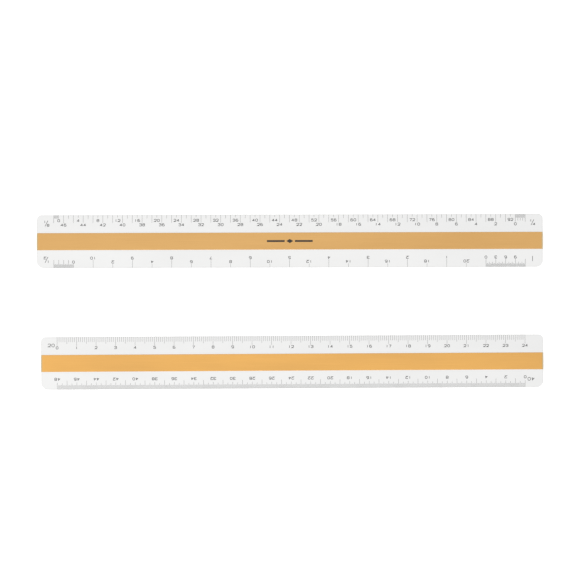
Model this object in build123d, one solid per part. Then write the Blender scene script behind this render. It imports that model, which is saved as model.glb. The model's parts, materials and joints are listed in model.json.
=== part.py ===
from build123d import *
import os
from math import hypot

# A flat drafting scale rule with four bevels: architect's scales on the front face and
# engineer's scales on the back. A metal core runs the whole length. A white plastic wing is
# slid onto each side of it in a dovetail, and the scales are printed on the wings' bevels.
#
# Millimetres. X runs along the rule, Y across it and Z up, out of the front face. The origin
# is the middle of the core's back face. "Rear" is the +Y side and "front edge" the -Y side.

inch = 25.4

# The whole rule
graduated_inches = 12
end_margin = 11.1
rule_width = 34.2

# The core
core_width = 11.05
core_thickness = 3.0
core_end_break = 0.4

# The wings, whose faces slope from beside the core to a thin drawing edge
wing_step = 0.2
edge_thickness = 0.9
edge_rounding = 0.12
rear_corner_radius = 2.8
front_corner_radius = 4.2

# The dovetail that holds each wing in the core
tongue_depth = 1.5
tongue_neck = 0.9
tongue_tip = 1.3
tongue_clearance = 0.04

# The print
ink_thickness = 0.02
tick_width = 0.13
foot_tick_width = 0.15
tick_setback = 0.14
pen_width = 0.3
numeral_width = 1.65
numeral_height = 1.85
numeral_gap = 0.35
bowl_radius = 0.3
zero_radius = 0.5
tightest_inside_radius = 0.01

# How far the print on each face sits towards +X from the middle of the rule
front_print_shift = -0.2
back_print_shift = 0.65

# Distances of the numeral rows' middles in from their own drawing edge
eighth_row = 3.55
quarter_row = 6.4
half_row = 3.9
one_row = 6.4
twenty_row = 7.0
forty_row = 6.75

# Space between each row's numerals and the ends of the lines that point at them
eighth_clearance = 1.0
quarter_clearance = 0.4
half_clearance = 0.4
one_clearance = 0.25
twenty_clearance = 0.35
forty_clearance = 1.3

# Lengths of the other printed lines
eighth_line = 2.3
half_inch_line = 2.5

# Inches of rule to a foot on each architect's scale. On the 1 scale a foot is an inch.
eighth_foot = 1 / 8
quarter_foot = 1 / 4
half_foot = 1 / 2

# Feet from one numeral to the next on each architect's scale. The 1 scale numbers them all.
eighth_numbered_feet = 4
quarter_numbered_feet = 2
half_numbered_feet = 2

# Inches of a foot, and from one numeral to the next in the 1 scale's divided foot
inches_to_a_foot = 12
one_numbered_inches = 3

# Numbers to the inch on the engineer's scales
engineer_numbers = 2

# Parts that each architect's scale divides its end foot into
eighth_foot_parts = 6
quarter_foot_parts = 12
half_foot_parts = 24
one_foot_parts = 48

# Lengths of the lines that divide a foot or an inch: each pair is a step, in parts, and the
# length of the line at every such step
eighth_foot_steps = [(1, 2.2)]
quarter_foot_steps = [(1, 2.4), (3, 4.2)]
half_foot_steps = [(1, 2.3), (2, 2.6), (6, 5.2)]
one_foot_steps = [(1, 2.1), (2, 2.5), (4, 3.3)]
twenty_steps = [(1, 3.3), (5, 4.4)]
forty_steps = [(1, 2.8), (5, 4.0), (10, 5.8)]

# The numerals that name each scale
designation_row = 5.4
designation_offset = 4.7
engineer_designation_offset = 3.8
engineer_designation_height = 2.2
one_designation_height = 3.7
fraction_numeral_height = 1.75
fraction_offset_x = 1.07
fraction_offset_y = 1.15
fraction_slash_x = 0.95
fraction_slash_y = 1.9

# The plain ornament printed on the middle of the core
ornament_bar_length = 11.5
ornament_bar_width = 1.2
ornament_lozenge_length = 4.6
ornament_lozenge_width = 2.7
ornament_gap = 1.0

graduated_length = graduated_inches * inch
rule_length = graduated_length + 2 * end_margin
middle_height = core_thickness / 2
core_side = core_width / 2
drawing_edge = rule_width / 2
wing_root_half = middle_height - wing_step
edge_half = edge_thickness / 2

# Zeros of the scales that run from the right, and whole feet on the two finer scales
quarter_zero = graduated_inches - quarter_foot
half_zero = graduated_inches - half_foot
eighth_feet = int(quarter_zero / eighth_foot)
quarter_feet = int(quarter_zero / quarter_foot)

REAR, FRONT_EDGE = 1, -1
FRONT_FACE, BACK_FACE = 1, -1


# ---- the core and the wings -------------------------------------------------------------

def dovetail_points(side, clearance):
    """Four corners of a dovetail that reaches in from one side of the core, in Y and Z."""
    neck = tongue_neck / 2 + clearance
    tip = tongue_tip / 2 + clearance
    bottom = core_side - tongue_depth - clearance
    return [
        (side * core_side, middle_height - neck),
        (side * bottom, middle_height - tip),
        (side * bottom, middle_height + tip),
        (side * core_side, middle_height + neck),
    ]


def along_rule(section, length):
    """A section drawn in Y and Z, run along X and centred on the rule's middle."""
    return Pos(-length / 2, 0, 0) * extrude(Plane.YZ * section, length)


def core():
    """A flat bar. Its end corners are broken, and its long corners slope down to the wings."""
    bar = Pos(0, 0, middle_height) * Box(rule_length, core_width, core_thickness)
    bar = chamfer(bar.edges().filter_by(Axis.Y), core_end_break)
    bar = chamfer(bar.edges().filter_by(Axis.X), wing_step)
    for side in (REAR, FRONT_EDGE):
        groove = make_face(Polyline(*dovetail_points(side, tongue_clearance), close=True))
        bar -= along_rule(groove, rule_length)
    return bar


def wing_section(side):
    """A wing's cross-section: the dovetail tongue, two sloping faces and a thin edge."""
    outline = make_face(
        Polyline(
            (side * core_side, middle_height + wing_root_half),
            (side * drawing_edge, middle_height + edge_half),
            (side * drawing_edge, middle_height - edge_half),
            (side * core_side, middle_height - wing_root_half),
            *dovetail_points(side, 0),
            close=True,
        )
    )
    edge_corners = outline.vertices().group_by(Axis.X)[-1 if side == REAR else 0]
    return fillet(edge_corners, edge_rounding)


def wing_plan(side, corner_radius):
    """One side of the rule seen from above, with its two outer corners rounded."""
    half = rule_length / 2
    outer = side * drawing_edge
    return make_face(
        FilletPolyline(
            (-half, 0),
            (-half, outer),
            (half, outer),
            (half, 0),
            radius=[0, corner_radius, corner_radius, 0],
            close=True,
        )
    )


def wing(side, corner_radius):
    bar = along_rule(wing_section(side), rule_length)
    plan = extrude(wing_plan(side, corner_radius), core_thickness)
    return bar & plan


# ---- the printed lines ------------------------------------------------------------------

def bevel(side, face):
    """A bevel as its reader sees it: Y runs out to the drawing edge, which is at Y = 0, X
    runs to the right from the start of the graduated length, and Z is out of the plastic."""
    run = drawing_edge - core_side
    rise = wing_root_half - edge_half
    slope = hypot(run, rise)
    shift = front_print_shift if face == FRONT_FACE else back_print_shift
    start = shift - side * face * graduated_length / 2
    return Plane(
        origin=(start, side * drawing_edge, middle_height + face * edge_half),
        x_dir=(side * face, 0, 0),
        z_dir=(0, side * rise / slope, face * run / slope),
    )


def on_bevel(side, face, marks):
    return bevel(side, face).location * Compound(children=marks)


def ticks(lengths, width):
    """One thin bar of ink for each position in inches, out to the drawing edge."""
    marks = []
    for position, length in lengths.items():
        bar = Box(
            width,
            length - tick_setback,
            ink_thickness,
            align=(Align.CENTER, Align.MAX, Align.MIN),
        )
        marks.append(Pos(position * inch, -tick_setback, 0) * bar)
    return marks


def feet_and_divided_feet(whole, divided_feet):
    """A bevel's lines. Those of the divided feet are wider and replace any others there."""
    others = {place: length for place, length in whole.items() if place not in divided_feet}
    return ticks(others, tick_width) + ticks(divided_feet, foot_tick_width)


def pointing_line(row, clearance):
    """Length of a line that ends just short of the numerals in a row."""
    return row - numeral_height / 2 - clearance


def divided(start, width, parts, length_by_step):
    """A stretch divided into equal parts: the last step that fits sets each line's length."""
    lengths = {}
    for part in range(parts + 1):
        for step, length in length_by_step:
            if part % step == 0:
                lengths[start + width * part / parts] = length
    return lengths


def eighth_quarter_graduations():
    """Full lines every quarter inch from the quarter scale's zero near the right-hand end,
    shorter ones between them, and a divided foot at each end."""
    under_eighth = pointing_line(eighth_row, eighth_clearance)
    full_line = pointing_line(quarter_row, quarter_clearance)
    end_lines = [(quarter_foot_parts, full_line)]
    whole_feet = {}
    for foot in range(eighth_feet):
        numbered = foot % eighth_numbered_feet == 0
        whole_feet[(foot + 1) * eighth_foot] = under_eighth if numbered else eighth_line
    for foot in range(1, quarter_feet):
        whole_feet[quarter_zero - foot * quarter_foot] = full_line
    ends = divided(0, eighth_foot, eighth_foot_parts, eighth_foot_steps)
    ends[0] = full_line
    ends |= divided(quarter_zero, quarter_foot, quarter_foot_parts, quarter_foot_steps + end_lines)
    return on_bevel(REAR, FRONT_FACE, feet_and_divided_feet(whole_feet, ends))


def half_one_graduations():
    """Long lines each inch, short ones at the half inches, and a divided foot at each end."""
    full_line = pointing_line(one_row, one_clearance)
    numbered_parts = one_foot_parts * one_numbered_inches // inches_to_a_foot
    whole_feet = {}
    for foot in range(1, graduated_inches):
        whole_feet[foot] = full_line
        whole_feet[foot + half_foot] = half_inch_line
    ends = divided(0, 1, one_foot_parts, one_foot_steps + [(numbered_parts, full_line)])
    ends |= divided(half_zero, half_foot, half_foot_parts, half_foot_steps)
    ends[half_zero] = pointing_line(half_row, half_clearance)
    return on_bevel(FRONT_EDGE, FRONT_FACE, feet_and_divided_feet(whole_feet, ends))


def engineer_graduations(side, parts_per_inch, length_by_step, full_line):
    """Even lines the whole way, some longer, with a full line for each numeral."""
    parts = graduated_inches * parts_per_inch
    numbered = (parts_per_inch // engineer_numbers, full_line)
    lengths = divided(0, graduated_inches, parts, length_by_step + [numbered])
    return on_bevel(side, BACK_FACE, ticks(lengths, tick_width))


# ---- the printed numerals ---------------------------------------------------------------

# Pen strokes of each numeral. X runs from -1 to 1 across it and Y from 0 to 1 up it. The
# third number rounds the corner there, as a share of the bowl radius, or leaves it sharp.
strokes = {
    "1": [[(0, 1, 0), (0, 0, 0)]],
    "2": [[(-1, 0.72, 0), (-1, 1, 1), (1, 1, 1), (1, 0.5, 0.6), (-1, 0, 0), (1, 0, 0)]],
    "3": [
        [(-1, 0.76, 0), (-1, 1, 1), (1, 1, 1), (1, 0.54, 1), (-0.4, 0.54, 0)],
        [(0.2, 0.54, 0), (1, 0.54, 1), (1, 0, 1), (-1, 0, 1), (-1, 0.24, 0)],
    ],
    "4": [[(0.45, 1, 0), (-1, 0.3, 0), (1, 0.3, 0)], [(0.45, 0, 0), (0.45, 1, 0)]],
    "5": [
        [(0.9, 1, 0), (-0.85, 1, 0), (-0.85, 0.57, 0)],
        [(-0.85, 0.6, 0), (1, 0.6, 1), (1, 0, 1), (-1, 0, 1), (-1, 0.22, 0)],
    ],
    "6": [[(0.8, 1, 0), (-1, 1, 1), (-1, 0.29, 0)]],
    "7": [[(-1, 1, 0), (1, 1, 0), (-0.3, 0, 0)]],
    "9": [[(-0.8, 0, 0), (1, 0, 1), (1, 0.71, 0)]],
}

# Closed loops, each from its lower to its upper height
loops = {"6": [(0, 0.58)], "8": [(0, 0.54), (0.54, 1)], "9": [(0.42, 1)]}


def pen_turn(radius):
    """A turn of the pen's middle line, no tighter than the pen's own width leaves room for."""
    return max(radius, pen_width / 2 + tightest_inside_radius)


def ring(width, height, radius):
    """A rounded loop of pen width about a line of the given width and height."""
    outer = RectangleRounded(width + pen_width, height + pen_width, radius + pen_width / 2)
    return outer - RectangleRounded(width - pen_width, height - pen_width, radius - pen_width / 2)


def numeral_face(character, height):
    """One numeral of constant pen width, centred on the origin."""
    size = height / numeral_height
    half_wide = (numeral_width * size - pen_width) / 2
    tall = height - pen_width
    if character == "0":
        return ring(2 * half_wide, tall, pen_turn(zero_radius * size))
    face = Sketch()
    for low, high in loops.get(character, []):
        loop = ring(2 * half_wide, (high - low) * tall, pen_turn(bowl_radius * size))
        face += Pos(0, ((low + high) / 2 - 1 / 2) * tall) * loop
    for stroke in strokes.get(character, []):
        points = [(x * half_wide, (y - 1 / 2) * tall) for x, y, _ in stroke]
        roundings = [rounding for _, _, rounding in stroke[1:-1]]
        corners = [pen_turn(share * bowl_radius * size) if share else 0 for share in roundings]
        path = FilletPolyline(points, radius=corners) if corners else Line(points)
        face += trace(path, pen_width)
    return face


printed_numerals = {}


def numeral(character, height):
    """A numeral as a thin solid of ink. Each one is drawn once and then copied."""
    if (character, height) not in printed_numerals:
        solid = extrude(numeral_face(character, height), ink_thickness)
        printed_numerals[character, height] = solid
    return printed_numerals[character, height]


def number(text, height, x, y):
    """The numerals of one number, evenly pitched and centred on a point."""
    pitch = (numeral_width + numeral_gap) * height / numeral_height
    left = x - pitch * (len(text) - 1) / 2
    marks = []
    for place, character in enumerate(text):
        marks += (Pos(left + pitch * place, y, 0) * numeral(character, height)).solids()
    return marks


def number_row(values, row):
    """Numbers at positions in inches, all at one height in from the drawing edge."""
    marks = []
    for position, value in values:
        marks += number(str(value), numeral_height, position * inch, -row)
    return marks


def fraction(denominator, x):
    """A slanted fraction with a numerator of one, centred on the designation row."""
    y = -designation_row
    slash = trace(
        Line((-fraction_slash_x, -fraction_slash_y), (fraction_slash_x, fraction_slash_y)),
        pen_width,
    )
    height = fraction_numeral_height
    marks = number("1", height, x - fraction_offset_x, y + fraction_offset_y)
    marks += number(denominator, height, x + fraction_offset_x, y - fraction_offset_y)
    marks += (Pos(x, y, 0) * extrude(slash, ink_thickness)).solids()
    return marks


def eighth_numerals():
    """Feet at an eighth of an inch each, from the left."""
    numbered = range(0, eighth_feet, eighth_numbered_feet)
    values = [((foot + 1) * eighth_foot, foot) for foot in numbered]
    marks = number_row(values, eighth_row) + fraction("8", -designation_offset)
    return on_bevel(REAR, FRONT_FACE, marks)


def quarter_numerals():
    """Feet at a quarter of an inch each, from the right."""
    numbered = range(0, quarter_feet, quarter_numbered_feet)
    values = [(quarter_zero - foot * quarter_foot, foot) for foot in numbered]
    marks = number_row(values, quarter_row)
    marks += fraction("4", graduated_length + designation_offset)
    return on_bevel(REAR, FRONT_FACE, marks)


def one_numerals():
    """Feet at an inch each, from the left, and some inches of the divided foot."""
    values = [(1 + foot, foot) for foot in range(graduated_inches - 1)]
    numbered = range(one_numbered_inches, inches_to_a_foot, one_numbered_inches)
    values += [(1 - inches / inches_to_a_foot, inches) for inches in numbered]
    marks = number_row(values, one_row)
    marks += number("1", one_designation_height, -designation_offset, -designation_row)
    return on_bevel(FRONT_EDGE, FRONT_FACE, marks)


def half_numerals():
    """Feet at half an inch each, from the right, as far as the divided foot at the left."""
    numbered = range(0, int((graduated_inches - 1) / half_foot), half_numbered_feet)
    values = [(half_zero - foot * half_foot, foot) for foot in numbered]
    marks = number_row(values, half_row)
    marks += fraction("2", graduated_length + designation_offset)
    return on_bevel(FRONT_EDGE, FRONT_FACE, marks)


def engineer_numerals(side, parts_per_inch, row):
    """Numbers that count tens of parts from the start, and the scale's name before it."""
    tens = parts_per_inch // engineer_numbers // 10
    places = range(engineer_numbers * graduated_inches + 1)
    values = [(place / engineer_numbers, place * tens) for place in places]
    marks = number_row(values, row)
    marks += number(
        str(parts_per_inch),
        engineer_designation_height,
        -engineer_designation_offset,
        -designation_row,
    )
    return on_bevel(side, BACK_FACE, marks)


def centre_ornament():
    """A lozenge between two bars, on the core's front face over the middle of the rule."""
    half_long = ornament_lozenge_length / 2
    half_wide = ornament_lozenge_width / 2
    lozenge = make_face(
        Polyline((half_long, 0), (0, half_wide), (-half_long, 0), (0, -half_wide), close=True)
    )
    bar_middle = half_long + ornament_gap + ornament_bar_length / 2
    marks = [extrude(lozenge, ink_thickness, dir=(0, 0, 1)).solid()]
    for end in (-1, 1):
        bar = extrude(Rectangle(ornament_bar_length, ornament_bar_width), ink_thickness)
        marks.append((Pos(end * bar_middle, 0, 0) * bar).solid())
    return Pos(0, 0, core_thickness) * Compound(children=marks)


full_twenty_line = pointing_line(twenty_row, twenty_clearance)
full_forty_line = pointing_line(forty_row, forty_clearance)

pieces = {
    "core": core(),
    "rear_wing": wing(REAR, rear_corner_radius),
    "front_wing": wing(FRONT_EDGE, front_corner_radius),
    "eighth_quarter_graduations": eighth_quarter_graduations(),
    "half_one_graduations": half_one_graduations(),
    "twenty_graduations": engineer_graduations(REAR, 20, twenty_steps, full_twenty_line),
    "forty_graduations": engineer_graduations(FRONT_EDGE, 40, forty_steps, full_forty_line),
    "eighth_numerals": eighth_numerals(),
    "quarter_numerals": quarter_numerals(),
    "half_numerals": half_numerals(),
    "one_numerals": one_numerals(),
    "twenty_numerals": engineer_numerals(REAR, 20, twenty_row),
    "forty_numerals": engineer_numerals(FRONT_EDGE, 40, forty_row),
    "centre_ornament": centre_ornament(),
}

os.makedirs("parts", exist_ok=True)
for name, shape in pieces.items():
    export_step(shape, f"parts/{name}.step")
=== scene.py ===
import json
import math

import bpy
from mathutils import Matrix, Vector


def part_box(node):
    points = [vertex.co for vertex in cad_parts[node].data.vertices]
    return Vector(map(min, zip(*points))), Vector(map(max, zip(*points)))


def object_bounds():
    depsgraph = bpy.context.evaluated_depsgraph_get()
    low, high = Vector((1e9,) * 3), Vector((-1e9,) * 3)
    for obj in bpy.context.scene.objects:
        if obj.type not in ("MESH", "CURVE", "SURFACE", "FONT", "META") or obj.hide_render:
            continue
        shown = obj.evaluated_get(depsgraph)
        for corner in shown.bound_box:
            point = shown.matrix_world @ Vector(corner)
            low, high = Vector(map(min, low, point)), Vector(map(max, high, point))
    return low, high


# A flat drafting scale rule lying front face up on a light table. Metres, in the packed
# model's own frame: X along the rule, Y across it, Z up. A staged second copy lies below
# it in the picture, turned over, to show the back face.

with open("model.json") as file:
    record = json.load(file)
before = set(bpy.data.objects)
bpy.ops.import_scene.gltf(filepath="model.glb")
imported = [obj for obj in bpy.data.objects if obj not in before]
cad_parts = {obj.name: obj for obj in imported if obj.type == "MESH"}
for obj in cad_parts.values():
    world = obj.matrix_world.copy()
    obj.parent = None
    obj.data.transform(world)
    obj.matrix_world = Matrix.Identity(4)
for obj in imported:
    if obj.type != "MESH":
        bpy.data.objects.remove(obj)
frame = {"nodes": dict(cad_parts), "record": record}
cad_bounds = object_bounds()
nodes = frame["nodes"]

rule_low, rule_high = cad_bounds
core_low, core_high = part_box("core")
half_length = (rule_high.x - rule_low.x) / 2
half_width = (rule_high.y - rule_low.y) / 2
core_half_width = (core_high.y - core_low.y) / 2
core_thickness = core_high.z - core_low.z

MILLIMETRE = 0.001


# ---- shader building --------------------------------------------------------------------

class Shader:
    """A material's node tree, with short names for the nodes that these finishes use."""

    def __init__(self, name):
        self.material = bpy.data.materials.new(name)
        self.material.use_nodes = True
        self.tree = self.material.node_tree
        self.surface = self.tree.nodes["Principled BSDF"]
        self.place = self.add("ShaderNodeTexCoord").outputs["Object"]

    def add(self, kind, **settings):
        node = self.tree.nodes.new(kind)
        for name, value in settings.items():
            setattr(node, name, value)
        return node

    def link(self, source, target):
        self.tree.links.new(source, target)

    def stretched(self, scale):
        """Object coordinates, squeezed or stretched along each axis."""
        mapping = self.add("ShaderNodeMapping")
        mapping.inputs["Scale"].default_value = scale
        self.link(self.place, mapping.inputs["Vector"])
        return mapping.outputs["Vector"]

    def noise(self, scale, detail, roughness=0.5):
        """Soft noise from 0 to 1, with a scale in cycles a metre along X, Y and Z."""
        node = self.add("ShaderNodeTexNoise")
        node.inputs["Scale"].default_value = 1.0
        node.inputs["Detail"].default_value = detail
        node.inputs["Roughness"].default_value = roughness
        self.link(self.stretched(scale), node.inputs["Vector"])
        return node.outputs["Fac"]

    def math(self, operation, first, second=None):
        node = self.add("ShaderNodeMath", operation=operation)
        for socket, value in zip(node.inputs, (first, second)):
            if isinstance(value, (int, float)):
                socket.default_value = value
            elif value is not None:
                self.link(value, socket)
        return node.outputs[0]

    def axis(self, name):
        """Where the point lies along X, Y or Z."""
        split = self.add("ShaderNodeSeparateXYZ")
        self.link(self.place, split.inputs["Vector"])
        return split.outputs[name]

    def inset(self, name, half_extent):
        """How far the point lies in from the end or side half_extent from the middle."""
        return self.math("SUBTRACT", half_extent, self.math("ABSOLUTE", self.axis(name)))

    def ramp(self, value, low, high, to_low=0.0, to_high=1.0):
        """value, moved from the range low to high into the range to_low to to_high."""
        node = self.add("ShaderNodeMapRange", clamp=True)
        self.link(value, node.inputs["Value"])
        for name, number in (
            ("From Min", low),
            ("From Max", high),
            ("To Min", to_low),
            ("To Max", to_high),
        ):
            node.inputs[name].default_value = number
        return node.outputs["Result"]

    def fade(self, distance, starts, full):
        """0 at the distance starts and beyond, rising to 1 at the smaller distance full."""
        return self.ramp(distance, starts, full)

    def mix(self, share, first, second):
        """Two colours mixed by a share from 0 to 1."""
        node = self.add("ShaderNodeMix", data_type="RGBA")
        self.link(share, node.inputs["Factor"])
        for name, value in (("A", first), ("B", second)):
            socket = [s for s in node.inputs if s.name == name and s.type == "RGBA"][0]
            if isinstance(value, tuple):
                socket.default_value = (*value, 1.0)
            else:
                self.link(value, socket)
        return [s for s in node.outputs if s.type == "RGBA"][0]

    def bump(self, height, distance, strength, under=None):
        """Relief as deep as distance where height is 1, on top of the relief under it."""
        node = self.add("ShaderNodeBump")
        node.inputs["Distance"].default_value = distance
        node.inputs["Strength"].default_value = strength
        self.link(height, node.inputs["Height"])
        if under is not None:
            self.link(under, node.inputs["Normal"])
        return node.outputs["Normal"]

    def set(self, **values):
        """Puts a plain value or a linked result on each named socket of the surface."""
        for name, value in values.items():
            socket = self.surface.inputs[name.replace("_", " ")]
            if isinstance(value, (int, float)):
                socket.default_value = value
            elif isinstance(value, tuple):
                socket.default_value = (*value, 1.0)
            else:
                self.link(value, socket)


def gold_metal():
    """Gold-anodised aluminium, brushed lengthwise, with its back face painted a lighter,
    more orange gold as a painted reflection; greyer within a millimetre of the ends and
    rubbed along its corners."""
    front_dark = (0.57, 0.332, 0.121)
    front_light = (0.69, 0.413, 0.157)
    back_dark_painted_reflection = (0.67, 0.361, 0.102)
    back_light_painted_reflection = (0.79, 0.444, 0.134)
    clouded = (0.58, 0.33, 0.115)
    grey_metal = (0.52, 0.40, 0.22)

    shader = Shader("gold_anodised_aluminium")
    grain = shader.noise((25, 9000, 9000), detail=4, roughness=0.65)
    broad_grain = shader.noise((6, 1400, 1400), detail=2)
    cloud = shader.noise((14, 60, 60), detail=2)
    scuffs = shader.noise((420, 900, 900), detail=3, roughness=0.7)

    streaks = shader.ramp(grain, 0.35, 0.65)
    front_gold = shader.mix(streaks, front_dark, front_light)
    # Painted reflection: the back face is given a lighter, more orange gold than the front.
    back_gold_painted_reflection = shader.mix(streaks, back_dark_painted_reflection, back_light_painted_reflection)
    towards_front = shader.ramp(shader.axis("Z"), core_low.z, core_high.z)
    gold = shader.mix(towards_front, back_gold_painted_reflection, front_gold)
    gold = shader.mix(shader.ramp(cloud, 0.3, 0.7, to_low=0.0, to_high=0.3), gold, clouded)

    from_end = shader.inset("X", half_length)
    # Greyer within a millimetre of each end of the band.
    grey_end_band = shader.fade(from_end, starts=1.0 * MILLIMETRE, full=0.5 * MILLIMETRE)
    from_side = shader.inset("Y", core_half_width)
    near_corner = shader.fade(from_side, starts=0.3 * MILLIMETRE, full=0.15 * MILLIMETRE)
    scuffed = shader.ramp(scuffs, 0.56, 0.66, to_low=0.0, to_high=0.5)
    rubbed = shader.math("MULTIPLY", near_corner, scuffed)
    colour = shader.mix(shader.math("MAXIMUM", grey_end_band, rubbed), gold, grey_metal)

    grain_roughness = shader.ramp(grain, 0.3, 0.7, to_low=0.32, to_high=0.48)
    cloud_roughness = shader.ramp(cloud, 0.3, 0.7, to_low=-0.02, to_high=0.03)
    roughness = shader.math("ADD", grain_roughness, cloud_roughness)
    relief = shader.bump(broad_grain, distance=0.012 * MILLIMETRE, strength=0.6)
    normal = shader.bump(grain, distance=0.005 * MILLIMETRE, strength=0.7, under=relief)
    shader.set(Base_Color=colour, Metallic=1.0, Roughness=roughness, Normal=normal)
    return shader.material


def white_plastic():
    """Extruded white plastic: faint draw lines along its length, a little uneven in gloss,
    with painted shade in patches by the thin drawing edges and the ends."""
    dull_white = (0.79, 0.79, 0.785)
    clean_white = (0.82, 0.82, 0.815)
    rim_shade_grey = (0.60, 0.595, 0.58)

    shader = Shader("white_wing_plastic")
    draw_lines = shader.noise((10, 2600, 2600), detail=3, roughness=0.6)
    cloud = shader.noise((18, 70, 70), detail=3)
    speckle = shader.noise((2600, 2600, 2600), detail=2)
    rim_shade_noise = shader.noise((160, 900, 900), detail=4, roughness=0.7)

    white = shader.mix(shader.ramp(cloud, 0.3, 0.7), dull_white, clean_white)
    from_edge = shader.inset("Y", half_width)
    from_end = shader.inset("X", half_length)
    from_rim = shader.math("MINIMUM", from_edge, from_end)
    # Painted shade: a patchy grey rim within 0.8 mm of the drawing edges and the ends.
    near_rim = shader.fade(from_rim, starts=0.8 * MILLIMETRE, full=0.1 * MILLIMETRE)
    patches = shader.ramp(rim_shade_noise, 0.4, 0.65, to_low=0.2, to_high=0.55)
    painted_rim_shade = shader.math("MULTIPLY", near_rim, patches)
    colour = shader.mix(painted_rim_shade, white, rim_shade_grey)

    line_roughness = shader.ramp(draw_lines, 0.25, 0.75, to_low=0.30, to_high=0.38)
    cloud_roughness = shader.ramp(cloud, 0.3, 0.7, to_low=-0.02, to_high=0.04)
    roughness = shader.math("ADD", line_roughness, cloud_roughness)
    relief = shader.bump(draw_lines, distance=0.006 * MILLIMETRE, strength=0.6)
    normal = shader.bump(speckle, distance=0.003 * MILLIMETRE, strength=0.4, under=relief)
    shader.set(Base_Color=colour, Roughness=roughness, Normal=normal)
    return shader.material


def printed_ink(name, dark, light):
    """Printed ink, a little lighter and duller where it took less well."""
    shader = Shader(name)
    thin_spots = shader.noise((3500, 3500, 3500), detail=3, roughness=0.7)
    colour = shader.mix(shader.ramp(thin_spots, 0.35, 0.75), dark, light)
    roughness = shader.ramp(thin_spots, 0.3, 0.7, to_low=0.42, to_high=0.6)
    normal = shader.bump(thin_spots, distance=0.004 * MILLIMETRE, strength=0.5)
    shader.set(Base_Color=colour, Roughness=roughness, Normal=normal)
    return shader.material


def light_table():
    """A white table top that glows a little, so that the rule casts next to no shadow."""
    shader = Shader("light_table")
    cloud = shader.noise((3, 3, 3), detail=2)
    colour = shader.mix(cloud, (0.93, 0.93, 0.93), (0.95, 0.95, 0.95))
    shader.set(Base_Color=colour, Roughness=0.9, Specular_IOR_Level=0.1)
    shader.set(Emission_Color=(1.0, 1.0, 1.0), Emission_Strength=0.28)
    return shader.material


finishes = {
    "core_metal": gold_metal(),
    "wing_plastic": white_plastic(),
    "scale_ink": printed_ink("scale_ink", (0.012, 0.012, 0.013), (0.05, 0.05, 0.052)),
    "core_ink": printed_ink("core_ink", (0.010, 0.008, 0.006), (0.045, 0.035, 0.025)),
}

slot_of = {part["node"]: part["material_slot"] for part in frame["record"]["subparts"]}
for name, node in nodes.items():
    node.data.materials.clear()
    node.data.materials.append(finishes[slot_of[name]])


# ---- the staged view of the back face ---------------------------------------------------

back_view_shift = Vector((1.3, -78.3, 0)) * MILLIMETRE
back_view_turn = math.radians(0.155)
back_view_scale = 0.9925


def show_back_face():
    """A staged copy, turned over end for end, that lies on the table below the rule in the
    picture. It shares the rule's meshes and isn't part of the object."""
    turned = bpy.data.objects.new("turned_over", None)
    bpy.context.scene.collection.objects.link(turned)
    lift = Vector((0, 0, core_thickness * back_view_scale))
    turned.matrix_world = (
        Matrix.Translation(back_view_shift + lift)
        @ Matrix.Rotation(back_view_turn, 4, "Z")
        @ Matrix.Rotation(math.pi, 4, "Y")
        @ Matrix.Scale(back_view_scale, 4)
    )
    for name, node in nodes.items():
        copy = bpy.data.objects.new("turned_" + name, node.data)
        bpy.context.scene.collection.objects.link(copy)
        copy.parent = turned


show_back_face()


# ---- table, light and camera ------------------------------------------------------------

def studio_floor(floor_half):
    """The light table's top, a square that reaches floor_half from its middle."""
    corners = [
        (-floor_half, -floor_half, 0),
        (floor_half, -floor_half, 0),
        (floor_half, floor_half, 0),
        (-floor_half, floor_half, 0),
    ]
    mesh = bpy.data.meshes.new("studio_floor")
    mesh.from_pydata(corners, [], [(0, 1, 2, 3)])
    mesh.materials.append(light_table())
    floor = bpy.data.objects.new("studio_floor", mesh)
    bpy.context.scene.collection.objects.link(floor)


def soft_light(name, place, size, power):
    """A square lamp that points at the middle of the rule. Its size is one side."""
    lamp = bpy.data.lights.new(name, "AREA")
    lamp.shape = "SQUARE"
    lamp.size = size
    lamp.energy = power
    holder = bpy.data.objects.new(name, lamp)
    holder.location = place
    holder.rotation_euler = (-Vector(place)).to_track_quat("-Z", "Y").to_euler()
    bpy.context.scene.collection.objects.link(holder)


def pale_surroundings(strength):
    """Even white light from all round."""
    world = bpy.data.worlds.new("pale_surroundings")
    world.use_nodes = True
    background = world.node_tree.nodes["Background"]
    background.inputs["Color"].default_value = (1, 1, 1, 1)
    background.inputs["Strength"].default_value = strength
    bpy.context.scene.world = world


def catalogue_camera():
    """Straight down from high up, so that the rule lies in the upper half of the picture."""
    distance = 1.5
    view_width = 372.96 * MILLIMETRE
    looks_at = Vector((-1.25, -30.36, 0)) * MILLIMETRE
    roll = math.radians(-0.16)
    camera = bpy.data.cameras.new("catalogue_camera")
    camera.sensor_width = 36.0
    camera.lens = camera.sensor_width * distance / view_width
    holder = bpy.data.objects.new("catalogue_camera", camera)
    holder.location = looks_at + Vector((0, 0, distance))
    holder.rotation_euler = (0, 0, roll)
    bpy.context.scene.collection.objects.link(holder)
    bpy.context.scene.camera = holder


studio_floor(floor_half=3.0)
pale_surroundings(strength=0.90)
soft_light("key_light", place=(-1.0, -0.2, 0.8), size=0.5, power=2.2)
soft_light("top_light", place=(-0.2, 0.0, 1.9), size=1.6, power=3.3)
soft_light("low_light", place=(0.0, -1.6, 0.35), size=0.5, power=2.2)
catalogue_camera()
bpy.context.scene.view_settings.view_transform = "Standard"
